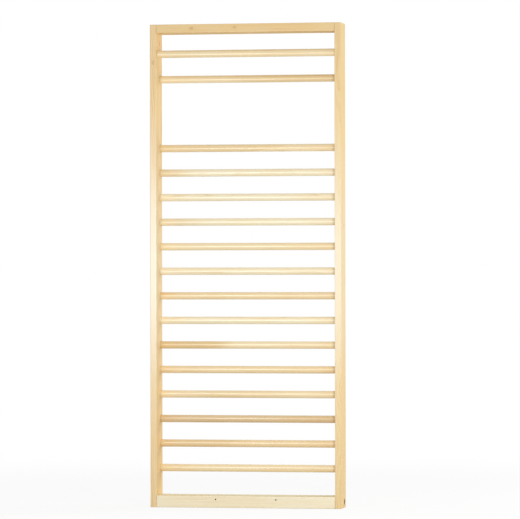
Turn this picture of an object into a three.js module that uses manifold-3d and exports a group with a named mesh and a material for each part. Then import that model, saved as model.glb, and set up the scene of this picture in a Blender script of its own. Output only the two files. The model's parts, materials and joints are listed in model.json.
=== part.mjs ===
// One bay of wall bars: two uprights, a top and a bottom rail between them, and round rungs in blind sockets.
// Millimetres, +Z up. X runs along the rungs, -Y faces the room and +Y faces the wall.
// The origin is at floor level, midway between the uprights and midway through their depth.
import * as THREE from "three";
import { mergeVertices } from "three/addons/utils/BufferGeometryUtils.js";
import Module from "manifold-3d";

// Boards
const OVERALL_WIDTH = 900;
const BOARD_DEPTH = 140;
const UPRIGHT_THICKNESS = 30;
const TOP_RAIL_HEIGHT = 40;
const BOTTOM_RAIL_HEIGHT = 55;
const EDGE_RADIUS = 3;
const END_CHAMFER = 1.5;

// Rungs, as heights and distances of their axes
const LOWER_RUNG_COUNT = 14;
const UPPER_RUNG_COUNT = 2;
const RUNG_DIAMETER = 35;
const RUNG_PITCH = 115;
const LOWEST_RUNG_HEIGHT = 180;
const HANGING_GAP = 323;
const TOP_RUNG_DROP = 137;
const RUNG_EDGE_DISTANCE = 35;
const RUNG_CHAMFER = 1.5;
const SOCKET_BACKING = 10;

// Dowels that locate the rails
const DOWEL_DIAMETER = 10;
const DOWEL_LENGTH = 40;
const DOWEL_CHAMFER = 1;
const DOWEL_BACKING = 12;
const TOP_DOWEL_SPACING = 80;

// Connector bolts of the bottom rail
const BOLT_DIAMETER = 8;
const BOLT_LENGTH = 70;
const BOLT_CHAMFER = 1;
const BOLT_OFFSET = 30;
const BOLT_OVERRUN = 5;
const BOLT_HEAD_DIAMETER = 26;
const BOLT_HEAD_HEIGHT = 5;
const HEAD_RECESS = 0.5;
const HEX_KEY = 5;
const HEX_DEPTH = 3;
const NUT_DIAMETER = 14;
const NUT_LENGTH = 30;
const NUT_SLOT_WIDTH = 2;
const NUT_SLOT_DEPTH = 2;

// Wall-screw holes in the bottom rail
const SCREW_HOLE_DIAMETER = 7;
const SCREW_HOLE_SPACING = 284;
const SCREW_HOLE_DROP = 16;

// Clearances
const FIT_GAP = 0.3;
const DOWEL_END_GAP = 0.8;
const BOLT_CLEARANCE = 0.5;
const HEAD_CLEARANCE = 1;

// Facets of round pieces, and how far a cutting tool reaches past the surface that it cuts
const RUNG_SEGMENTS = 24;
const SMALL_SEGMENTS = 20;
const CORNER_STEPS = 2;
const CUT_OVERSHOOT = 4;

// Places that follow from the sizes above
const clearSpan = OVERALL_WIDTH - 2 * UPRIGHT_THICKNESS;
const uprightX = (OVERALL_WIDTH - UPRIGHT_THICKNESS) / 2;
const railLength = clearSpan - 2 * FIT_GAP;
const rearRungY = BOARD_DEPTH / 2 - RUNG_EDGE_DISTANCE;
const frontRungY = -rearRungY;
const socketDepth = UPRIGHT_THICKNESS - SOCKET_BACKING;
const rungLength = clearSpan + 2 * (socketDepth - FIT_GAP);
const dowelHoleDepth = UPRIGHT_THICKNESS - DOWEL_BACKING;
const dowelReach = DOWEL_LENGTH - (dowelHoleDepth - FIT_GAP);
const counterboreDepth = HEAD_RECESS + BOLT_HEAD_HEIGHT + FIT_GAP;
const boltEnd = HEAD_RECESS + BOLT_HEAD_HEIGHT + BOLT_LENGTH;
const nutDistance = boltEnd - BOLT_OVERRUN - NUT_DIAMETER / 2;
const boltHeight = BOTTOM_RAIL_HEIGHT / 2;
const rungs = placeRungs();
const overallHeight = rungs[0].z + TOP_RUNG_DROP;

// Left is -1 and right is +1, seen from the room.
const SIDES = { left: -1, right: 1 };

const pine = new THREE.MeshStandardMaterial({ color: 0xe6c792, roughness: 0.45, metalness: 0 });
const palePine = new THREE.MeshStandardMaterial({ color: 0xf0dcb4, roughness: 0.45, metalness: 0 });
const beech = new THREE.MeshStandardMaterial({ color: 0xd2a679, roughness: 0.6, metalness: 0 });
const zinc = new THREE.MeshStandardMaterial({ color: 0x9a9a94, roughness: 0.35, metalness: 1 });
const blackSteel = new THREE.MeshStandardMaterial({ color: 0x2a2826, roughness: 0.45, metalness: 1 });

const wasm = await Module();
wasm.setup();

// The rungs' axes from the top down: the top one stands forward, all others lie towards the wall.
function placeRungs() {
  const heights = [];
  for (let i = 0; i < LOWER_RUNG_COUNT; i += 1) {
    heights.push(LOWEST_RUNG_HEIGHT + i * RUNG_PITCH);
  }
  const lowestUpper = heights.at(-1) + HANGING_GAP;
  for (let i = 0; i < UPPER_RUNG_COUNT; i += 1) {
    heights.push(lowestUpper + i * RUNG_PITCH);
  }
  return heights.reverse().map((z, i) => ({ z, y: i === 0 ? frontRungY : rearRungY }));
}

// A closed geometry as a solid that can be cut.
function solidOf(geometry) {
  const bare = geometry.clone();
  bare.deleteAttribute("normal");
  bare.deleteAttribute("uv");
  const merged = mergeVertices(bare);
  const mesh = new wasm.Mesh({
    numProp: 3,
    vertProperties: merged.getAttribute("position").array,
    triVerts: new Uint32Array(merged.index.array),
  });
  return new wasm.Manifold(mesh);
}

// A geometry less each of the tools.
function cut(geometry, tools) {
  const solid = tools.reduce((rest, tool) => rest.subtract(solidOf(tool)), solidOf(geometry));
  const { vertProperties, triVerts } = solid.getMesh();
  const result = new THREE.BufferGeometry();
  result.setAttribute("position", new THREE.BufferAttribute(vertProperties, 3));
  result.setIndex(new THREE.BufferAttribute(triVerts, 1));
  result.computeVertexNormals();
  return result;
}

// A rounded rectangle about the origin.
function roundedRectangle(width, height) {
  const x = width / 2 - EDGE_RADIUS;
  const y = height / 2 - EDGE_RADIUS;
  const quarter = Math.PI / 2;
  const outline = new THREE.Shape();
  outline.absarc(x, y, EDGE_RADIUS, 0, quarter);
  outline.absarc(-x, y, EDGE_RADIUS, quarter, 2 * quarter);
  outline.absarc(-x, -y, EDGE_RADIUS, 2 * quarter, 3 * quarter);
  outline.absarc(x, -y, EDGE_RADIUS, 3 * quarter, 4 * quarter);
  return outline;
}

// A turned body about the X axis: its profile holds pairs of distance along X and radius.
function turnedAlongX(profile, segments) {
  const points = profile.map(([x, radius]) => new THREE.Vector2(radius, x));
  return new THREE.LatheGeometry(points, segments).rotateZ(-Math.PI / 2);
}

// A rod along X with both ends chamfered, centred on the origin.
function chamferedRod(diameter, length, chamfer, segments) {
  const radius = diameter / 2;
  const end = length / 2;
  return turnedAlongX(
    [
      [-end, 0],
      [-end, radius - chamfer],
      [-end + chamfer, radius],
      [end - chamfer, radius],
      [end, radius - chamfer],
      [end, 0],
    ],
    segments,
  );
}

// A round cutting tool along X between two places.
function boreAlongX(diameter, from, to, y, z, segments) {
  const length = Math.abs(to - from);
  const bore = new THREE.CylinderGeometry(diameter / 2, diameter / 2, length, segments);
  return bore.rotateZ(-Math.PI / 2).translate((from + to) / 2, y, z);
}

function named(name, geometry, material) {
  const mesh = new THREE.Mesh(geometry, material);
  mesh.name = name;
  return mesh;
}

// An upright about its own centre line, with its foot at zero height.
function uprightGeometry(side) {
  const board = new THREE.ExtrudeGeometry(roundedRectangle(UPRIGHT_THICKNESS, BOARD_DEPTH), {
    depth: overallHeight - 2 * END_CHAMFER,
    curveSegments: CORNER_STEPS,
    bevelThickness: END_CHAMFER,
    bevelSize: END_CHAMFER,
    bevelOffset: -END_CHAMFER,
    bevelSegments: 1,
  }).translate(0, 0, END_CHAMFER);
  const innerFace = (-side * UPRIGHT_THICKNESS) / 2;
  const mouth = innerFace - side * CUT_OVERSHOOT;
  const outerFace = -innerFace;
  const topRailMiddle = overallHeight - TOP_RAIL_HEIGHT / 2;
  const socketDiameter = RUNG_DIAMETER + 2 * FIT_GAP;
  const dowelHole = DOWEL_DIAMETER + 2 * FIT_GAP;
  const socketFloor = innerFace + side * socketDepth;
  const dowelFloor = innerFace + side * dowelHoleDepth;
  const tools = rungs.map(({ y, z }) => boreAlongX(socketDiameter, mouth, socketFloor, y, z, RUNG_SEGMENTS));
  for (const y of [-TOP_DOWEL_SPACING / 2, TOP_DOWEL_SPACING / 2]) {
    tools.push(boreAlongX(dowelHole, mouth, dowelFloor, y, topRailMiddle, SMALL_SEGMENTS));
  }
  tools.push(boreAlongX(dowelHole, mouth, dowelFloor, -BOLT_OFFSET, boltHeight, SMALL_SEGMENTS));
  const boltHole = BOLT_DIAMETER + 2 * BOLT_CLEARANCE;
  const beyond = outerFace + side * CUT_OVERSHOOT;
  tools.push(boreAlongX(boltHole, mouth, beyond, BOLT_OFFSET, boltHeight, SMALL_SEGMENTS));
  const counterbore = BOLT_HEAD_DIAMETER + 2 * HEAD_CLEARANCE;
  const counterboreFloor = outerFace - side * counterboreDepth;
  tools.push(boreAlongX(counterbore, counterboreFloor, beyond, BOLT_OFFSET, boltHeight, RUNG_SEGMENTS));
  return cut(board, tools);
}

// A rail about its own middle.
function railBoard(height) {
  const board = new THREE.ExtrudeGeometry(roundedRectangle(height, BOARD_DEPTH), {
    depth: railLength,
    curveSegments: CORNER_STEPS,
    bevelEnabled: false,
  });
  return board.translate(0, 0, -railLength / 2).rotateY(Math.PI / 2);
}

// The dowel holes in both ends of a rail, at its middle height.
function railDowelHoles(places) {
  const diameter = DOWEL_DIAMETER + 2 * FIT_GAP;
  const end = railLength / 2;
  const floor = clearSpan / 2 - dowelReach - DOWEL_END_GAP;
  return Object.values(SIDES).flatMap((side) =>
    places.map((y) =>
      boreAlongX(diameter, side * floor, side * (end + CUT_OVERSHOOT), y, 0, SMALL_SEGMENTS),
    ),
  );
}

function topRailGeometry() {
  const dowels = railDowelHoles([-TOP_DOWEL_SPACING / 2, TOP_DOWEL_SPACING / 2]);
  return cut(railBoard(TOP_RAIL_HEIGHT), dowels);
}

function bottomRailGeometry() {
  const tools = railDowelHoles([-BOLT_OFFSET]);
  const boltHole = BOLT_DIAMETER + 2 * BOLT_CLEARANCE;
  const nutHole = NUT_DIAMETER / 2 + FIT_GAP;
  const nutHoleTop = NUT_LENGTH / 2 + FIT_GAP;
  const nutHoleFoot = -BOTTOM_RAIL_HEIGHT / 2 - CUT_OVERSHOOT;
  const boltFloor = OVERALL_WIDTH / 2 - boltEnd - BOLT_CLEARANCE;
  const mouth = railLength / 2 + CUT_OVERSHOOT;
  for (const side of Object.values(SIDES)) {
    tools.push(boreAlongX(boltHole, side * boltFloor, side * mouth, BOLT_OFFSET, 0, SMALL_SEGMENTS));
    const nut = new THREE.CylinderGeometry(nutHole, nutHole, nutHoleTop - nutHoleFoot, SMALL_SEGMENTS);
    const nutX = side * (OVERALL_WIDTH / 2 - nutDistance);
    tools.push(nut.rotateX(Math.PI / 2).translate(nutX, BOLT_OFFSET, (nutHoleTop + nutHoleFoot) / 2));
    const screwLength = BOARD_DEPTH + 2 * CUT_OVERSHOOT;
    const screwRadius = SCREW_HOLE_DIAMETER / 2;
    const screw = new THREE.CylinderGeometry(screwRadius, screwRadius, screwLength, SMALL_SEGMENTS);
    const screwZ = BOTTOM_RAIL_HEIGHT / 2 - SCREW_HOLE_DROP;
    tools.push(screw.translate((side * SCREW_HOLE_SPACING) / 2, 0, screwZ));
  }
  return cut(railBoard(BOTTOM_RAIL_HEIGHT), tools);
}

// A connector bolt with a wide flat head along X, from the outer face of its head at the origin.
function boltGeometry() {
  const head = BOLT_HEAD_DIAMETER / 2;
  const shank = BOLT_DIAMETER / 2;
  const end = BOLT_HEAD_HEIGHT + BOLT_LENGTH;
  const body = turnedAlongX(
    [
      [0, 0],
      [0, head - BOLT_CHAMFER],
      [BOLT_CHAMFER, head],
      [BOLT_HEAD_HEIGHT, head],
      [BOLT_HEAD_HEIGHT, shank],
      [end - BOLT_CHAMFER, shank],
      [end, shank - BOLT_CHAMFER],
      [end, 0],
    ],
    RUNG_SEGMENTS,
  );
  const hexDiameter = (2 * HEX_KEY) / Math.sqrt(3);
  return cut(body, [boreAlongX(hexDiameter, -CUT_OVERSHOOT, HEX_DEPTH, 0, 0, 6)]);
}

// A barrel nut that stands along Z about its cross bore, with a driver slot across its lower end.
function barrelNutGeometry() {
  const radius = NUT_DIAMETER / 2;
  const barrel = new THREE.CylinderGeometry(radius, radius, NUT_LENGTH, SMALL_SEGMENTS);
  const thread = BOLT_DIAMETER + 2 * FIT_GAP;
  const reach = radius + CUT_OVERSHOOT;
  const crossBore = boreAlongX(thread, -reach, reach, 0, 0, SMALL_SEGMENTS);
  const slot = new THREE.BoxGeometry(2 * reach, NUT_SLOT_WIDTH, 2 * NUT_SLOT_DEPTH);
  return cut(barrel.rotateX(Math.PI / 2), [crossBore, slot.translate(0, 0, -NUT_LENGTH / 2)]);
}

function addBoards(part) {
  for (const [label, side] of Object.entries(SIDES)) {
    const upright = named(`${label}_upright`, uprightGeometry(side), pine);
    upright.position.x = side * uprightX;
    part.add(upright);
  }
  const topRail = named("top_rail", topRailGeometry(), pine);
  topRail.position.z = overallHeight - TOP_RAIL_HEIGHT / 2;
  const bottomRail = named("bottom_rail", bottomRailGeometry(), palePine);
  bottomRail.position.z = BOTTOM_RAIL_HEIGHT / 2;
  part.add(topRail, bottomRail);
}

function addRungs(part) {
  const geometry = chamferedRod(RUNG_DIAMETER, rungLength, RUNG_CHAMFER, RUNG_SEGMENTS);
  rungs.forEach(({ y, z }, i) => {
    const rung = named(`rung_${String(i + 1).padStart(2, "0")}`, geometry, pine);
    rung.position.set(0, y, z);
    part.add(rung);
  });
}

function addDowels(part) {
  const geometry = chamferedRod(DOWEL_DIAMETER, DOWEL_LENGTH, DOWEL_CHAMFER, SMALL_SEGMENTS);
  const topZ = overallHeight - TOP_RAIL_HEIGHT / 2;
  const middle = clearSpan / 2 - dowelReach + DOWEL_LENGTH / 2;
  for (const [label, side] of Object.entries(SIDES)) {
    const front = named(`top_dowel_${label}_front`, geometry, beech);
    front.position.set(side * middle, -TOP_DOWEL_SPACING / 2, topZ);
    const rear = named(`top_dowel_${label}_rear`, geometry, beech);
    rear.position.set(side * middle, TOP_DOWEL_SPACING / 2, topZ);
    const lower = named(`bottom_dowel_${label}`, geometry, beech);
    lower.position.set(side * middle, -BOLT_OFFSET, boltHeight);
    part.add(front, rear, lower);
  }
}

// One bolted joint a side, in a group whose X axis runs inwards from the upright's outer face.
function addBoltedJoints(part) {
  const boltShape = boltGeometry();
  const nutShape = barrelNutGeometry();
  for (const [label, side] of Object.entries(SIDES)) {
    const joint = new THREE.Group();
    joint.position.set((side * OVERALL_WIDTH) / 2, BOLT_OFFSET, boltHeight);
    joint.rotation.z = side > 0 ? Math.PI : 0;
    const bolt = named(`bolt_${label}`, boltShape, blackSteel);
    bolt.position.x = HEAD_RECESS;
    const nut = named(`barrel_nut_${label}`, nutShape, zinc);
    nut.position.x = nutDistance;
    joint.add(bolt, nut);
    part.add(joint);
  }
}

const wallBars = new THREE.Group();
wallBars.name = "wall_bars";
addBoards(wallBars);
addRungs(wallBars);
addDowels(wallBars);
addBoltedJoints(wallBars);

export default wallBars;
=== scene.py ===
import json
import math

import bmesh
import bpy
from mathutils import Matrix, Vector


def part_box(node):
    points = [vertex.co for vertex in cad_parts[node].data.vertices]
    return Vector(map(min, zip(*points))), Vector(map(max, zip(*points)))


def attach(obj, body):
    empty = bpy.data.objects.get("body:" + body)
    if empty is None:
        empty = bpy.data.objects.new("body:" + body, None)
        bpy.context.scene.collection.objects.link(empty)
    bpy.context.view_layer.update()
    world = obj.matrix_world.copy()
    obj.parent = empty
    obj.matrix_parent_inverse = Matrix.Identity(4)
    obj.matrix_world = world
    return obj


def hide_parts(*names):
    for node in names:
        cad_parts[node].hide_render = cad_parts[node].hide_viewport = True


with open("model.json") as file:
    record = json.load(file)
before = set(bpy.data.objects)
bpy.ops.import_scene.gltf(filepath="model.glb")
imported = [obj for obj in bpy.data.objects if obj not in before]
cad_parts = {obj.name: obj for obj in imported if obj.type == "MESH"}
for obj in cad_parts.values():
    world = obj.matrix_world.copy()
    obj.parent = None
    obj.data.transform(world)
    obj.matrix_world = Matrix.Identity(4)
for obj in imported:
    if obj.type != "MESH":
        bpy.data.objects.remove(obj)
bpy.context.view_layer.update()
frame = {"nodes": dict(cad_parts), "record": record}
scene = bpy.context.scene
record = frame["record"]

MM = 0.001
X_AXIS, Y_AXIS, Z_AXIS = Vector((1, 0, 0)), Vector((0, 1, 0)), Vector((0, 0, 1))
SIDES = {"left": -1, "right": 1}
RUNG_NAMES = [f"rung_{number:02d}" for number in range(1, 17)]

# The joinery's lengths, in metres
FIT_GAP = 0.3 * MM
EDGE_RADIUS = 3 * MM
END_CHAMFER = 1.5 * MM
RUNG_CHAMFER = 1.5 * MM
SOCKET_CHAMFER = 2 * MM
HOLE_CHAMFER = 0.5 * MM
DOWEL_END_ROOM = 0.8 * MM
SCREW_HOLE_RADIUS = 3.5 * MM

# The lengths of the connector bolts and barrel nuts, in metres
HEAD_HEIGHT = 5 * MM
HEAD_CLEARANCE = 1 * MM
HEAD_FRONT_BEVEL = 1 * MM
HEAD_REAR_BEVEL = 0.3 * MM
HEAD_RIM = 5.5 * MM
HEAD_STEP_WIDTH = 0.5 * MM
HEAD_STEP_DEPTH = 0.3 * MM
HEXAGON_RADIUS = 2.9 * MM
HEXAGON_DEPTH = 3 * MM
SHANK_RADIUS = 4 * MM
SHANK_CHAMFER = 1 * MM
BOLT_HOLE_RADIUS = 4.5 * MM
BOLT_TIP_ROOM = 3 * MM
NUT_BEVEL = 0.6 * MM
NUT_SLOT_WIDTH = 2 * MM
NUT_SLOT_DEPTH = 2 * MM

# Facets of round pieces, and how far one cut reaches past a surface or into another cut, in metres
RUNG_SIDES = 72
SOCKET_SIDES = 64
NUT_SIDES = 48
SMALL_SIDES = 32
HEXAGON_SIDES = 6
OVERSHOOT = 4 * MM
BOLT_HOLE_OVERLAP = 2 * MM
SCREW_HOLE_OVERLAP = 1 * MM

# What counts as parallel, as a cosine, and as lying in one plane, in metres
PARALLEL = 0.99
IN_PLANE = 0.01 * MM


# Modelling by hand: helpers that finish a step leave Blender in object mode.

def lay_down_tools():
    if bpy.context.object and bpy.context.object.mode != "OBJECT":
        bpy.ops.object.mode_set(mode="OBJECT")
    bpy.ops.object.select_all(action="DESELECT")


def take_up(piece):
    lay_down_tools()
    piece.select_set(True)
    bpy.context.view_layer.objects.active = piece


def fix_in_place(piece):
    take_up(piece)
    bpy.ops.object.transform_apply(location=True, rotation=True, scale=True)
    return piece


def sawn_block(name, low, high):
    lay_down_tools()
    bpy.ops.mesh.primitive_cube_add(size=1, location=(low + high) / 2)
    block = bpy.context.object
    block.name = block.data.name = name
    block.scale = high - low
    return fix_in_place(block)


def round_stock(name, start, end, radius, sides):
    lay_down_tools()
    bpy.ops.mesh.primitive_cylinder_add(
        vertices=sides, radius=radius, depth=(end - start).length, location=(start + end) / 2)
    rod = bpy.context.object
    rod.name = rod.data.name = name
    rod.rotation_mode = "QUATERNION"
    rod.rotation_quaternion = Z_AXIS.rotation_difference((end - start).normalized())
    return fix_in_place(rod)


def pick(piece, kind, wanted):
    """Opens a piece in edit mode with only its wanted edges or faces selected."""
    take_up(piece)
    bpy.ops.object.mode_set(mode="EDIT")
    bpy.ops.mesh.select_mode(type=kind)
    bpy.ops.mesh.select_all(action="DESELECT")
    mesh = bmesh.from_edit_mesh(piece.data)
    mesh.normal_update()
    for part in mesh.edges if kind == "EDGE" else mesh.faces:
        part.select_set(bool(wanted(part)))
    bmesh.update_edit_mesh(piece.data)


def runs_along(edge, axis):
    way = edge.verts[1].co - edge.verts[0].co
    return abs(way.normalized().dot(axis)) > PARALLEL


def lies_at(edge, axis, places):
    return any(all(abs(vert.co.dot(axis) - place) < IN_PLANE for vert in edge.verts)
               for place in places)


def looks_to(face, way):
    return face.normal.dot(way) > PARALLEL


def bevel_edges(piece, wanted, width, segments):
    pick(piece, "EDGE", wanted)
    bpy.ops.mesh.bevel(offset=width, segments=segments, profile=0.5, affect="EDGES")
    lay_down_tools()


def round_the_arrises(board, low, high, along):
    """Rounds the long edges of a sawn board and takes the sharpness off its two ends."""
    bevel_edges(board, lambda edge: runs_along(edge, along), EDGE_RADIUS, segments=5)
    ends = (low.dot(along), high.dot(along))
    bevel_edges(board, lambda edge: lies_at(edge, along, ends), END_CHAMFER, segments=3)


def bore(name, start, end, radius, mouth_chamfer=0.0, sides=SOCKET_SIDES):
    """A drill's shape from start to end.

    With a mouth chamfer, it widens where it leaves the wood at end.
    """
    way = (end - start).normalized()
    if not mouth_chamfer:
        return round_stock(name, start, end + way * OVERSHOOT, radius, sides)
    drill = round_stock(name, start, end - way * mouth_chamfer, radius, sides)
    pick(drill, "FACE", lambda face: looks_to(face, way))
    flare = mouth_chamfer + OVERSHOOT
    bpy.ops.mesh.extrude_region_move(TRANSFORM_OT_translate={"value": way * flare})
    mesh = bmesh.from_edit_mesh(drill.data)
    for vert in mesh.verts:
        if vert.select:
            off_axis = (vert.co - start) - way * (vert.co - start).dot(way)
            vert.co += off_axis * (flare / radius)
    bmesh.update_edit_mesh(drill.data)
    lay_down_tools()
    return drill


def bore_along_x(name, centre, start, end, radius, mouth_chamfer=0.0, sides=SOCKET_SIDES):
    return bore(name, Vector((start, centre.y, centre.z)), Vector((end, centre.y, centre.z)),
                radius, mouth_chamfer, sides)


def carve(piece, cutters):
    lay_down_tools()
    for cutter in cutters:
        cutter.select_set(True)
    bpy.context.view_layer.objects.active = cutters[0]
    if len(cutters) > 1:
        bpy.ops.object.join()
    cutter = bpy.context.view_layer.objects.active
    take_up(piece)
    cut = piece.modifiers.new("cut", "BOOLEAN")
    cut.operation, cut.solver, cut.object = "DIFFERENCE", "EXACT", cutter
    bpy.ops.object.modifier_apply(modifier=cut.name)
    spent = cutter.data
    bpy.data.objects.remove(cutter)
    bpy.data.meshes.remove(spent)


def smooth(piece, degrees):
    """Shades rounds smooth and lets large flat faces keep their own normals."""
    take_up(piece)
    bpy.ops.object.shade_smooth_by_angle(angle=math.radians(degrees))
    weighted = piece.modifiers.new("flat faces", "WEIGHTED_NORMAL")
    weighted.keep_sharp = True
    weighted.weight = 100
    bpy.ops.object.modifier_apply(modifier=weighted.name)


def copy_of(piece, name, shift):
    take_up(piece)
    bpy.ops.object.duplicate(linked=False)
    twin = bpy.context.object
    twin.name = twin.data.name = name
    twin.location = shift
    return fix_in_place(twin)


def fit_to_frame(piece, node, finish):
    piece.name = piece.data.name = "made_" + node
    piece.data.materials.clear()
    piece.data.materials.append(finish)
    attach(piece, "root")
    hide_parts(node)


# Where a node is, read from the frame.

def middle(node):
    low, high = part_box(node)
    return (low + high) / 2


def reach(node, side):
    """How far a node reaches along X, to the left for side -1 and to the right for side 1."""
    low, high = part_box(node)
    return high.x if side > 0 else low.x


def radius_of(node):
    """The radius of a round node that lies along X."""
    low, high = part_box(node)
    return (high.z - low.z) / 2


# Finishes: sums written on wires become Math nodes, everything else comes from Mixture.node.

class Wire:
    """One output of a shader node."""

    def __init__(self, mixture, socket):
        self.mixture, self.socket = mixture, socket

    def sum(self, operation, first, second=None):
        values = {0: first} if second is None else {0: first, 1: second}
        return self.mixture.node("Math", {"operation": operation}, values)

    def __add__(self, other):
        return self.sum("ADD", self, other)

    def __radd__(self, other):
        return self.sum("ADD", other, self)

    def __sub__(self, other):
        return self.sum("SUBTRACT", self, other)

    def __rsub__(self, other):
        return self.sum("SUBTRACT", other, self)

    def __mul__(self, other):
        return self.sum("MULTIPLY", self, other)

    def __rmul__(self, other):
        return self.sum("MULTIPLY", other, self)

    def __truediv__(self, other):
        return self.sum("DIVIDE", self, other)

    def __abs__(self):
        return self.sum("ABSOLUTE", self)

    def root(self):
        return self.sum("SQRT", self)

    def fraction(self):
        return self.sum("FRACT", self)

    def floor(self):
        return self.sum("FLOOR", self)

    def most(self, other):
        return self.sum("MAXIMUM", self, other)

    def ease(self, start, end, low=0.0, high=1.0):
        """Goes smoothly from low to high as the value goes from start to end."""
        return self.mixture.node(
            "MapRange", {"interpolation_type": "SMOOTHSTEP", "clamp": True},
            {"Value": self, "From Min": start, "From Max": end, "To Min": low, "To Max": high})


class Mixture:
    """The node tree of one finish."""

    def __init__(self, tree):
        self.tree = tree
        self.tree.nodes.clear()

    def node(self, kind, settings=None, sockets=None, out=0):
        """Adds a node, sets it up, fills or links its sockets, and gives one of its outputs."""
        made = self.tree.nodes.new("ShaderNode" + kind)
        for name, value in (settings or {}).items():
            setattr(made, name, value)
        for name, value in (sockets or {}).items():
            if isinstance(value, Wire):
                self.tree.links.new(value.socket, made.inputs[name])
            else:
                made.inputs[name].default_value = value
        return Wire(self, made.outputs[out]) if len(made.outputs) else None

    def part(self, vector, axis):
        return self.node("SeparateXYZ", None, {0: vector}, out=axis.upper())

    def place(self):
        """The three Object coordinates in millimetres."""
        spot = self.node("TexCoord", out="Object")
        return [self.part(spot, axis) * (1 / MM) for axis in "xyz"]

    def spot(self, x, y, z):
        return self.node("CombineXYZ", None, {0: x, 1: y, 2: z})

    def noise(self, spot, detail, roughness=0.5):
        return self.node(
            "TexNoise", {"noise_dimensions": "3D"},
            {"Vector": spot, "Scale": 1.0, "Detail": detail, "Roughness": roughness}, out="Fac")

    def drift(self, value):
        """A slow wander from -0.5 to 0.5 along one value."""
        return self.node(
            "TexNoise", {"noise_dimensions": "1D"},
            {"W": value, "Scale": 1.0, "Detail": 1.0}, out="Fac") - 0.5

    def chance(self, value):
        return self.node("TexWhiteNoise", {"noise_dimensions": "1D"}, {"W": value}, out="Value")

    def blend(self, amount, first, second, how="MIX"):
        return self.node(
            "Mix", {"data_type": "RGBA", "blend_type": how, "clamp_factor": True},
            {0: amount, 6: first, 7: second}, out=2)

    def bump(self, height, strength, distance):
        return self.node(
            "Bump", None, {"Strength": strength, "Distance": distance, "Height": height})

    def finish(self, shader, kind="OutputMaterial"):
        self.node(kind, None, {"Surface": shader})


def new_finish(name):
    material = bpy.data.materials.new(name)
    material.use_nodes = True
    return material, Mixture(material.node_tree)


def rgb(red, green, blue):
    return (red, green, blue, 1.0)


def shade(colour, red, green, blue):
    return rgb(colour[0] * red, colour[1] * green, colour[2] * blue)


# Shades of pine, as factors on the tone of its piece
EARLY_WOOD = (1.03, 1.035, 1.05)
LATE_WOOD = (0.90, 0.76, 0.56)
RESIN = (0.84, 0.62, 0.38)
PALE_CLOUD = (1.035, 1.07, 1.16)
HEARTWOOD = (0.82, 0.70, 0.50)
# A painted highlight: a paler, cooler shade that stands in for the lacquer's sheen at mid-height
PAINTED_HIGHLIGHT = (1.0, 1.15, 1.62)
KNOT_CORE = (0.62, 0.42, 0.24)
KNOT_RIM = (0.40, 0.24, 0.13)
CUT_END = (0.80, 0.70, 0.54)
DARK_UPPER_FACE = (0.79, 0.78, 0.60)

# Patterns of pine: how fast each changes per millimetre across and along the grain
RIPPLE = (0.045, 0.0045)
FIBRE = (1.5, 0.022)
STREAK = (0.16, 0.0032)
CLOUD = (0.02, 0.004)
DASH = (0.75, 0.034)

# Sizes in pine, in millimetres
HEART_WANDER = 16.0
RIPPLE_DEPTH = 5.0
TONGUE_LENGTH = 340.0
KNOT_END = (18.0, 26.0)
FRONT_EDGE = (-64.0, -40.0)

# A knot's width across the grain as a share of its length along the grain
KNOT_WIDTH = 0.62


def stretch(place, start, end, fade):
    """1 from start to end along the grain, with an easy passage of twice the fade at both."""
    return place.ease(start - fade, start + fade) * place.ease(end - fade, end + fade, 1.0, 0.0)


def grow_knots(here, along, knots, radius):
    """Bends the growth rings round each knot.

    Gives the new radius of the rings and the masks of the knots' cores, halos and dark rims.
    """
    cores, halos, rims = None, None, None
    for x, y, z, axis, size, strength in knots:
        gaps = dict(zip("xyz", (value - at for value, at in zip(here, (x, y, z)))))
        near = abs(gaps[axis]).ease(*KNOT_END, 1.0, 0.0)
        gaps[along] = gaps[along] * KNOT_WIDTH
        first, second = (gap for letter, gap in gaps.items() if letter != axis)
        away = (first * first + second * second).root()
        core = away.ease(size * 0.55, size, strength, 0.0) * near
        halo = away.ease(size * 0.6, size * 3.4, strength, 0.0) * near
        inner = away.ease(size * 0.62, size * 0.82)
        rim = inner * away.ease(size * 0.86, size * 1.08, strength, 0.0) * near
        radius = radius + halo * (size * 1.1)
        cores = core if cores is None else cores.most(core)
        halos = halo if halos is None else halos.most(halo)
        rims = rim if rims is None else rims.most(rim)
    return radius, cores, halos, rims


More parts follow.
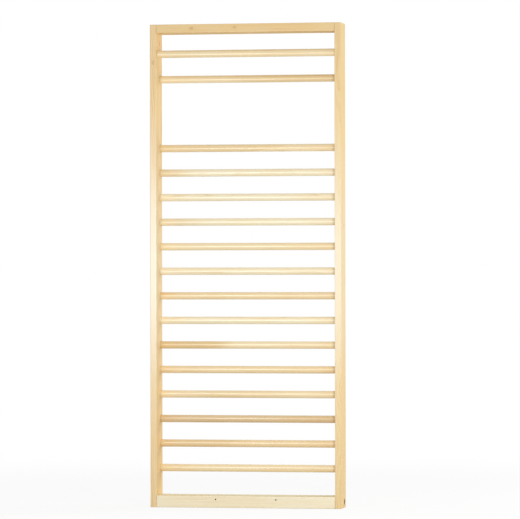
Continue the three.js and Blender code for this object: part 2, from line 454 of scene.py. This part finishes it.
def pine(name, along, heart, ring, colour, seed, lean, contrast=1.0, knots=(), gloss=0.5,
         dull_side=None, heartwood=(), painted_highlight=(), upper_darkening=0.0):
    """Clear-lacquered pine, cut from a log of growth rings.

    along is the axis of the grain, heart the log's centre in the two other axes in millimetres,
    ring the mean width of a growth ring, and lean how far the heart moves aside per length.
    A knot is (its centre in x, y, z, the axis it goes in along, its radius, its strength).
    gloss is the weight of the lacquer, which lies thinner on the broad faces across dull_side.
    heartwood gives warmer stretches along the grain, and the argument after it gives paler
    stretches of painted highlight that stand in for the lacquer's sheen, each as
    (start, end, fade, strength). The painted highlight is strongest at a board's front edge.
    The last argument sets how much darker and more olive the upper face is.
    """
    material, mix = new_finish(name)
    here = mix.place()
    length = here["xyz".index(along)]
    first, second = [value for axis, value in zip("xyz", here) if axis != along]

    def tint(factors):
        return shade(colour, *factors)

    def pattern(speed, detail, roughness=0.5, shifted=0):
        """Noise along the grain. The seed moves it on the axis that shifted counts."""
        spot = [first * speed[0], second * speed[0], length * speed[1]]
        spot[shifted] = spot[shifted] + seed
        return mix.noise(mix.spot(*spot), detail, roughness)

    # Growth rings round a heart that wanders along the log
    sway, swing = mix.drift(length * 0.0016 + seed), mix.drift(length * 0.0021 + (seed + 31.7))
    across = first - heart[0] - lean * length - sway * HEART_WANDER
    through = second - heart[1] - swing * HEART_WANDER
    ripple = pattern(RIPPLE, detail=2.0) - 0.5
    radius = (across * across + through * through).root() + ripple * RIPPLE_DEPTH
    radius, cores, halos, rims = grow_knots(here, along, knots, radius)
    turns = radius / ring + mix.drift(radius * 0.035 + (seed + 7.3)) * 1.6
    year, season = turns.floor(), turns.fraction()
    density = mix.chance(year + seed) * 0.6 + 0.4
    late = season.ease(0.35, 0.9) * season.ease(0.93, 1.0, 1.0, 0.0) * density

    # Colour: rings, resin, paler clouds, then stretches of heartwood and of painted highlight
    fibre = pattern(FIBRE, detail=3.0, roughness=0.6)
    streak = pattern(STREAK, detail=2.0, shifted=1)
    cloud = pattern(CLOUD, detail=1.0, shifted=1)
    dash = pattern(DASH, detail=1.0, shifted=2).ease(0.69, 0.78)
    body = mix.blend(late * contrast, tint(EARLY_WOOD), tint(LATE_WOOD))
    body = mix.blend(streak.ease(0.56, 0.76, 0.0, 0.42), body, tint(RESIN))
    body = mix.blend(dash * 0.30, body, tint(RESIN))
    body = mix.blend(cloud.ease(0.36, 0.64, 0.0, 0.5), body, tint(PALE_CLOUD))
    tongue = length + (streak - 0.5) * TONGUE_LENGTH
    for start, end, fade, amount in heartwood:
        body = mix.blend(stretch(tongue, start, end, fade) * amount, body, tint(HEARTWOOD))
    # Painted highlight: paler stretches that stand in for the lacquer's sheen, strongest at the
    # front
    for start, end, fade, amount in painted_highlight:
        highlight_by_front = second.ease(*FRONT_EDGE, 1.0, 0.5)
        body = mix.blend(
            stretch(tongue, start, end, fade) * highlight_by_front * amount, body, tint(PAINTED_HIGHLIGHT))
    grey = fibre.ease(0.25, 0.75, 0.955, 1.03)
    body = mix.blend(1.0, body, mix.spot(grey, grey, grey), how="MULTIPLY")
    if knots:
        body = mix.blend(halos * 0.30, body, tint(RESIN))
        years = (radius * 0.9 + ripple * 6.0).fraction().ease(0.2, 0.9, 0.55, 1.0)
        body = mix.blend(cores * years * 0.85, body, tint(KNOT_CORE))
        body = mix.blend(rims * 0.6, body, tint(KNOT_RIM))

    # Faces: end grain on cut ends, a darker olive upper face, and thinner lacquer on broad faces
    normal = mix.node("TexCoord", out="Normal")
    cut_end = abs(mix.part(normal, along)).ease(0.55, 0.9)
    body = mix.blend(cut_end * 0.75, body, tint(CUT_END))
    if upper_darkening:
        upper = mix.part(normal, "z").ease(0.25, 0.85)
        upper_darkening_mask = upper * streak.ease(0.3, 0.7, 0.7, 1.0)
        body = mix.blend(upper_darkening_mask * upper_darkening, body, tint(DARK_UPPER_FACE))
    thin = cut_end
    if dull_side:
        thin = thin.most(abs(mix.part(normal, dull_side)).ease(0.6, 0.95))

    relief = fibre * 0.6 + late * 0.4 - cut_end * fibre * 0.3
    mix.finish(mix.node("BsdfPrincipled", None, {
        "Base Color": body,
        "Roughness": 0.44 + fibre * 0.08 + late * 0.04 + thin * 0.26,
        "Coat Weight": gloss - thin * (gloss * 0.92),
        "Coat Roughness": 0.25,
        "Coat IOR": 1.72,
        "Specular IOR Level": 0.20,
        "Normal": mix.bump(relief, strength=0.10, distance=0.3 * MM)}))
    return material


def beech(name, colour):
    """Raw beech of the dowels: close-grained, with the short dark flecks of its rays."""
    material, mix = new_finish(name)
    x, y, z = mix.place()
    fibre = mix.noise(mix.spot(x * 0.06, y * 1.8, z * 1.8), detail=3.0, roughness=0.6)
    fleck = mix.noise(mix.spot(x * 0.35, y * 2.6, z * 2.6), detail=1.0).ease(0.62, 0.70)
    dark, light = shade(colour, 0.90, 0.86, 0.80), shade(colour, 1.06, 1.06, 1.06)
    body = mix.blend(fibre.ease(0.3, 0.7), dark, light)
    body = mix.blend(fleck * 0.55, body, shade(colour, 0.66, 0.50, 0.38))
    mix.finish(mix.node("BsdfPrincipled", None, {
        "Base Color": body,
        "Roughness": 0.62 + fibre * 0.12,
        "Normal": mix.bump(fibre, strength=0.15, distance=0.2 * MM)}))
    return material


def plated_steel(name, dark, light, roughness, metallic, shine):
    """Plated or blackened steel with a fine mottle and a few lighter rub marks."""
    material, mix = new_finish(name)
    x, y, z = mix.place()
    grain = mix.noise(mix.spot(x * 0.9, y * 0.9, z * 0.9), detail=3.0, roughness=0.65)
    rub = mix.noise(mix.spot(x * 0.25, y * 0.9, z * 0.9), detail=2.0).ease(0.60, 0.75)
    body = mix.blend(grain.ease(0.3, 0.7), dark, light)
    body = mix.blend(rub * 0.35, body, shade(light, 1.5, 1.5, 1.5))
    mix.finish(mix.node("BsdfPrincipled", None, {
        "Base Color": body,
        "Metallic": metallic,
        "Roughness": roughness + grain * 0.15,
        "Specular IOR Level": shine,
        "Normal": mix.bump(grain, strength=0.08, distance=0.1 * MM)}))
    return material


# The boards and rungs.

def dowels_at(side_name):
    return [f"top_dowel_{side_name}_front", f"top_dowel_{side_name}_rear",
            f"bottom_dowel_{side_name}"]


def upright(side_name):
    """A board with rung sockets and dowel holes inside and a counterbored bolt hole."""
    side = SIDES[side_name]
    node = side_name + "_upright"
    low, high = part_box(node)
    board = sawn_block(node, low, high)
    round_the_arrises(board, low, high, Z_AXIS)
    inner, outer = reach(node, -side), reach(node, side)
    cutters = []
    for name in RUNG_NAMES:
        floor = reach(name, side) + side * FIT_GAP
        cutters.append(bore_along_x("socket", middle(name), floor, inner,
                                    radius_of(name) + FIT_GAP, SOCKET_CHAMFER))
    for name in dowels_at(side_name):
        floor = reach(name, side) + side * DOWEL_END_ROOM
        cutters.append(bore_along_x("dowel_hole", middle(name), floor, inner,
                                    radius_of(name) + FIT_GAP, sides=SMALL_SIDES))
    bolt = "bolt_" + side_name
    seat = reach(bolt, side) - side * (HEAD_HEIGHT + FIT_GAP)
    cutters.append(bore_along_x("bolt_hole", middle(bolt), seat + side * BOLT_HOLE_OVERLAP, inner,
                                BOLT_HOLE_RADIUS, sides=SMALL_SIDES))
    carve(board, cutters)
    carve(board, [bore_along_x("counterbore", middle(bolt), seat, outer,
                               radius_of(bolt) + HEAD_CLEARANCE, HOLE_CHAMFER)])
    smooth(board, degrees=35)
    return board


def nut_holes(underside):
    """Blind holes for the barrel nuts, drilled from below."""
    holes = []
    for side_name in SIDES:
        low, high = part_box("barrel_nut_" + side_name)
        centre = (low + high) / 2
        roof = Vector((centre.x, centre.y, high.z + FIT_GAP))
        mouth = Vector((centre.x, centre.y, underside))
        radius = (high.x - low.x) / 2 + FIT_GAP
        holes.append(bore("nut_hole", roof, mouth, radius, HOLE_CHAMFER, NUT_SIDES))
    return holes


def screw_holes(front, rear):
    """Holes for the wall screws, each drilled from the front and from the rear."""
    holes = []
    for opening in record["physics"]["openings"]:
        if opening["name"].startswith("wall_screw_hole"):
            near, far = (Vector(corner) for corner in opening["box_m"])
            centre = (near + far) / 2
            half = Vector((centre.x, (front + rear) / 2, centre.z))
            for mouth, behind in ((front, 1), (rear, -1)):
                start = half + Y_AXIS * behind * SCREW_HOLE_OVERLAP
                holes.append(bore("screw_hole", start, Vector((centre.x, mouth, centre.z)),
                                  SCREW_HOLE_RADIUS, HOLE_CHAMFER, NUT_SIDES))
    return holes


def rail(node, with_bolts):
    """A board with dowel holes in its ends and, for the bottom rail, the holes of its hardware."""
    low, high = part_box(node)
    board = sawn_block(node, low, high)
    round_the_arrises(board, low, high, X_AXIS)
    cutters = []
    for side_name, side in SIDES.items():
        end = reach(node, side)
        for name in dowels_at(side_name):
            if low.z < middle(name).z < high.z:
                floor = reach(name, -side) - side * DOWEL_END_ROOM
                cutters.append(bore_along_x("dowel_hole", middle(name), floor, end,
                                            radius_of(name) + FIT_GAP, sides=SMALL_SIDES))
        if with_bolts:
            bolt = "bolt_" + side_name
            floor = reach(bolt, -side) - side * BOLT_TIP_ROOM
            cutters.append(bore_along_x("bolt_hole", middle(bolt), floor, end,
                                        BOLT_HOLE_RADIUS, sides=SMALL_SIDES))
    carve(board, cutters)
    if with_bolts:
        for cutter in nut_holes(low.z) + screw_holes(low.y, high.y):
            carve(board, [cutter])
    smooth(board, degrees=35)
    return board


def first_rung():
    name = RUNG_NAMES[0]
    low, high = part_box(name)
    centre = middle(name)
    start, end = Vector((low.x, centre.y, centre.z)), Vector((high.x, centre.y, centre.z))
    rung = round_stock("rung", start, end, radius_of(name), RUNG_SIDES)
    bevel_edges(rung, lambda edge: lies_at(edge, X_AXIS, (low.x, high.x)), RUNG_CHAMFER, segments=4)
    smooth(rung, degrees=40)
    return rung


# The hardware, made for the right-hand joint and turned round for the left.

def connector_bolt():
    """A bolt with a wide flat head, a hexagon socket and a chamfered shank."""
    name = "bolt_right"
    low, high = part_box(name)
    centre, radius = middle(name), radius_of(name)
    front = Vector((high.x, centre.y, centre.z))
    seat = front - X_AXIS * HEAD_HEIGHT
    bolt = round_stock("bolt", seat, front, radius, RUNG_SIDES)
    bevel_edges(bolt, lambda edge: lies_at(edge, X_AXIS, (high.x,)), HEAD_FRONT_BEVEL, segments=4)
    bevel_edges(bolt, lambda edge: lies_at(edge, X_AXIS, (seat.x,)), HEAD_REAR_BEVEL, segments=2)
    pick(bolt, "FACE", lambda face: looks_to(face, X_AXIS))
    bpy.ops.mesh.inset(thickness=HEAD_RIM, depth=0)
    bpy.ops.mesh.inset(thickness=HEAD_STEP_WIDTH, depth=-HEAD_STEP_DEPTH)
    pick(bolt, "FACE", lambda face: looks_to(face, -X_AXIS))
    bpy.ops.mesh.inset(thickness=radius - HEAD_REAR_BEVEL - SHANK_RADIUS, depth=0)
    shank = (low.x + SHANK_CHAMFER - seat.x, 0, 0)
    bpy.ops.mesh.extrude_region_move(TRANSFORM_OT_translate={"value": shank})
    bpy.ops.mesh.inset(thickness=SHANK_CHAMFER, depth=SHANK_CHAMFER)
    lay_down_tools()
    hexagon = bore("hexagon", front - X_AXIS * HEXAGON_DEPTH, front, HEXAGON_RADIUS,
                   sides=HEXAGON_SIDES)
    carve(bolt, [hexagon])
    smooth(bolt, degrees=30)
    return bolt


def barrel_nut():
    """A round nut across the bolt, with a cross bore and a driver slot in its lower end."""
    low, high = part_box("barrel_nut_right")
    centre = (low + high) / 2
    bolt = middle("bolt_right")
    top, foot = Vector((centre.x, centre.y, high.z)), Vector((centre.x, centre.y, low.z))
    nut = round_stock("barrel_nut", top, foot, (high.x - low.x) / 2, NUT_SIDES)
    bevel_edges(nut, lambda edge: lies_at(edge, Z_AXIS, (low.z, high.z)), NUT_BEVEL, segments=2)
    left, right = low.x - OVERSHOOT, high.x + OVERSHOOT
    through = round_stock("cross_bore", Vector((left, bolt.y, bolt.z)),
                          Vector((right, bolt.y, bolt.z)), SHANK_RADIUS + FIT_GAP, SMALL_SIDES)
    slot = sawn_block("slot", Vector((left, centre.y - NUT_SLOT_WIDTH / 2, low.z - OVERSHOOT)),
                      Vector((right, centre.y + NUT_SLOT_WIDTH / 2, low.z + NUT_SLOT_DEPTH)))
    carve(nut, [through])
    carve(nut, [slot])
    smooth(nut, degrees=30)
    return nut


def turned_round(piece, name):
    """A copy for the left-hand joint, turned half round about the frame's middle."""
    twin = copy_of(piece, name, Vector((0, 0, 0)))
    depth = middle("bolt_right").y
    twin.matrix_world = (Matrix.Translation((0, depth, 0)) @ Matrix.Rotation(math.pi, 4, "Z")
                         @ Matrix.Translation((0, -depth, 0)))
    return fix_in_place(twin)


# The tones of the boards and rungs, the warmer stretches along single rungs, and the paler
# # stretch of painted highlight at the uprights' mid-height.

BOARD_TONE = rgb(0.86, 0.64, 0.322)
TOP_TONE = rgb(0.855, 0.628, 0.302)
BOTTOM_TONE = rgb(0.95, 0.85, 0.605)
PALE_TONE = rgb(0.94, 0.835, 0.58)
CREAM_TONE = rgb(0.91, 0.745, 0.45)
HONEY_TONE = rgb(0.88, 0.69, 0.395)
DEEP_TONE = rgb(0.74, 0.548, 0.295)
RUNG_TONES = {
    **dict.fromkeys((4, 5, 6, 8, 10), PALE_TONE),
    **dict.fromkeys((1, 2, 3, 7, 11, 13, 16), CREAM_TONE),
    **dict.fromkeys((9, 12, 15), HONEY_TONE),
    14: DEEP_TONE}
RUNG_HEARTWOOD = {
    2: [(-30.0, 600.0, 130.0, 0.5)],
    3: [(-600.0, 90.0, 150.0, 0.3)],
    4: [(-600.0, -330.0, 70.0, 0.6)],
    6: [(-600.0, -240.0, 80.0, 0.4)],
    11: [(-600.0, -130.0, 60.0, 0.8)],
    13: [(-250.0, 150.0, 90.0, 0.28)],
    15: [(-600.0, -40.0, 90.0, 0.35)]}
# The uprights' painted highlight: a paler stretch at mid-height standing in for the light's sheen
UPRIGHT_PAINTED_HIGHLIGHT = [(720.0, 1530.0, 380.0, 1.0)]

left_pine = pine(
    "lacquered_pine_left_upright", along="z", heart=(-395.0, 60.0), ring=3.6, colour=BOARD_TONE,
    seed=3.1, lean=0.012, gloss=0.9, dull_side="x", painted_highlight=UPRIGHT_PAINTED_HIGHLIGHT,
    knots=[(-420.0, 10.0, 2166.0, "x", 7.0, 0.65), (-436.0, -70.0, 2073.0, "y", 6.0, 0.5)])
right_pine = pine(
    "lacquered_pine_right_upright", along="z", heart=(468.0, 95.0), ring=3.2,
    colour=shade(BOARD_TONE, 0.975, 0.975, 0.93), seed=12.4, lean=-0.010, gloss=0.9, dull_side="x",
    painted_highlight=UPRIGHT_PAINTED_HIGHLIGHT, knots=[(450.0, 22.0, 1310.0, "x", 6.0, 0.6)])
top_pine = pine(
    "lacquered_pine_top_rail", along="x", heart=(-30.0, 2280.0), ring=3.0, colour=TOP_TONE,
    seed=21.9, lean=0.02, dull_side="z",
    knots=[(-253.0, -70.0, 2231.0, "y", 5.5, 0.55), (-49.0, -70.0, 2233.0, "y", 5.0, 0.5)])
bottom_pine = pine(
    "pale_lacquered_pine_bottom_rail", along="x", heart=(40.0, -70.0), ring=4.2,
    colour=BOTTOM_TONE, seed=33.3, lean=0.015, contrast=0.7, dull_side="z", upper_darkening=0.45)

fit_to_frame(upright("left"), "left_upright", left_pine)
fit_to_frame(upright("right"), "right_upright", right_pine)
fit_to_frame(rail("top_rail", False), "top_rail", top_pine)
fit_to_frame(rail("bottom_rail", True), "bottom_rail", bottom_pine)


def rung_pine(number, name):
    """Each rung is sawn from another side of another log, so its rings lie differently."""
    axis = middle(name) / MM
    turn = 2.4 * number
    away = 26.0 + 9.0 * ((number * 5) % 7)
    tone = RUNG_TONES[number]
    return pine(
        "lacquered_pine_" + name, along="x",
        heart=(axis.y + away * math.cos(turn), axis.z + away * math.sin(turn)),
        ring=2.6 + 0.35 * (number % 4), colour=tone, seed=40.0 + 5.3 * number,
        lean=0.012 * math.cos(number * 1.7), contrast=1.15 if tone is DEEP_TONE else 0.85,
        gloss=0.8, heartwood=RUNG_HEARTWOOD.get(number, ()))


stick = first_rung()
rungs = [stick] + [copy_of(stick, name, middle(name) - middle(RUNG_NAMES[0]))
                   for name in RUNG_NAMES[1:]]
for number, (rung, name) in enumerate(zip(rungs, RUNG_NAMES), 1):
    fit_to_frame(rung, name, rung_pine(number, name))

black_steel = plated_steel(
    "black_oxide_steel", dark=rgb(0.014, 0.014, 0.015), light=rgb(0.03, 0.03, 0.031),
    roughness=0.68, metallic=0.0, shine=0.08)
zinc_steel = plated_steel(
    "zinc_plated_steel", dark=rgb(0.46, 0.46, 0.45), light=rgb(0.66, 0.66, 0.64),
    roughness=0.28, metallic=1.0, shine=0.5)
for make, kind, finish, slot in ((connector_bolt, "bolt", black_steel, "black_hardware"),
                                 (barrel_nut, "barrel_nut", zinc_steel, "zinc_hardware")):
    right_hand = make()
    left_hand = turned_round(right_hand, kind + "_left_hand")
    fit_to_frame(right_hand, kind + "_right", finish)
    fit_to_frame(left_hand, kind + "_left", finish)

raw_beech = beech("raw_beech", rgb(0.62, 0.40, 0.22))
for side_name in SIDES:
    for name in dowels_at(side_name):
        dowel = frame["nodes"][name]
        dowel.data.materials.clear()
        dowel.data.materials.append(raw_beech)


# The studio: a white room, a white floor that keeps a soft shadow, a key light from the front
# right, a weaker one from the front left, a tall side light from the rear right, and a reflector
# that shows only in the lacquer's gloss.

FLOOR_RADIUS = 14
FLOOR_NEAR, FLOOR_FAR = 1500.0, 5000.0
FLOOR_GLOW = 0.86


def seen_directly(mix):
    """1 for what the camera sees, also in a gloss or through glass, and 0 for light on its way."""
    camera = mix.node("LightPath", out="Is Camera Ray")
    glossy = mix.node("LightPath", out="Is Glossy Ray")
    through = mix.node("LightPath", out="Is Transmission Ray")
    return camera.most(glossy).most(through)


def white_floor():
    """Glows white, all the more far out, and takes the object's shadow near the middle."""
    lay_down_tools()
    bpy.ops.mesh.primitive_circle_add(
        vertices=128, radius=FLOOR_RADIUS, fill_type="NGON", location=(0, 0, 0))
    floor = bpy.context.object
    floor.name = "studio_floor"
    material, mix = new_finish("studio_floor_white")
    x, y = mix.place()[:2]
    far = (x * x + y * y).root().ease(FLOOR_NEAR, FLOOR_FAR)
    paper = mix.node("BsdfDiffuse", None, {"Color": rgb(0.60, 0.60, 0.595)})
    shadowed = mix.node("BsdfDiffuse", None, {"Color": rgb(0.93, 0.93, 0.93)})
    glow = mix.node("Emission", None, {"Color": rgb(1, 1, 1), "Strength": 1.0})
    share = FLOOR_GLOW + far * (1 - FLOOR_GLOW)
    shown = mix.node("MixShader", None, {0: share, 1: shadowed, 2: glow})
    mix.finish(mix.node("MixShader", None, {0: seen_directly(mix), 1: paper, 2: shown}))
    floor.data.materials.append(material)


def white_room(level):
    world = bpy.data.worlds.new("studio_room")
    world.use_nodes = True
    mix = Mixture(world.node_tree)
    ambient = mix.node(
        "Background", None, {"Color": rgb(1.0, 0.995, 0.985), "Strength": level})
    backdrop = mix.node("Background", None, {"Color": rgb(1, 1, 1), "Strength": 1.0})
    room = mix.node("MixShader", None, {0: seen_directly(mix), 1: ambient, 2: backdrop})
    mix.finish(room, "OutputWorld")
    scene.world = world


def soft_light(name, place, aim, width, height, watts, only_in_gloss=False):
    light = bpy.data.lights.new(name, "AREA")
    light.shape, light.size, light.size_y, light.energy = "RECTANGLE", width, height, watts
    lamp = bpy.data.objects.new(name, light)
    lamp.location = place
    lamp.visible_camera = False
    lamp.visible_diffuse = not only_in_gloss
    lamp.rotation_mode = "QUATERNION"
    lamp.rotation_quaternion = (Vector(aim) - Vector(place)).to_track_quat("-Z", "Y")
    scene.collection.objects.link(lamp)


def studio_camera(azimuth, distance, height, yaw, roll, lens, shift_x, shift_y):
    """Stands to the right of the middle, looks level and slides its frame a little."""
    azimuth, yaw, roll = map(math.radians, (azimuth, yaw, roll))
    data = bpy.data.cameras.new("studio_camera")
    data.lens, data.sensor_width, data.sensor_fit = lens, 36.0, "AUTO"
    data.shift_x, data.shift_y = shift_x, shift_y
    data.clip_start, data.clip_end = 0.1, 100.0
    camera = bpy.data.objects.new("studio_camera", data)
    ahead = Vector((-math.sin(yaw), math.cos(yaw), 0))
    across = Vector((math.cos(yaw), math.sin(yaw), 0))
    right = across * math.cos(roll) + Z_AXIS * math.sin(roll)
    up = Z_AXIS * math.cos(roll) - across * math.sin(roll)
    stand = Matrix((right, up, -ahead)).transposed().to_4x4()
    stand.translation = (distance * math.sin(azimuth), -distance * math.cos(azimuth), height)
    camera.matrix_world = stand
    scene.collection.objects.link(camera)
    scene.camera = camera


white_floor()
white_room(level=0.63)
soft_light("key_right", place=(1.28, -3.35, 1.13), aim=(0, 0, 1.13),
           width=0.2, height=0.4, watts=37.5)
soft_light("fill_left", place=(-0.66, -3.5, 1.13), aim=(-0.66, 0, 1.13),
           width=0.15, height=0.4, watts=13)
soft_light("side_right", place=(3.6, 1.15, 1.55), aim=(0, 0, 1.3),
           width=0.3, height=2.0, watts=51)
soft_light("reflector_left", place=(-0.56, -2.3, 1.13), aim=(-0.56, 0, 1.13),
           width=1.3, height=1.0, watts=9.5, only_in_gloss=True)
studio_camera(azimuth=9.969, distance=17.0, height=1.099, yaw=9.965, roll=-0.092,
              lens=252.51, shift_x=0.023, shift_y=0.0228)

scene.view_settings.view_transform = "Standard"
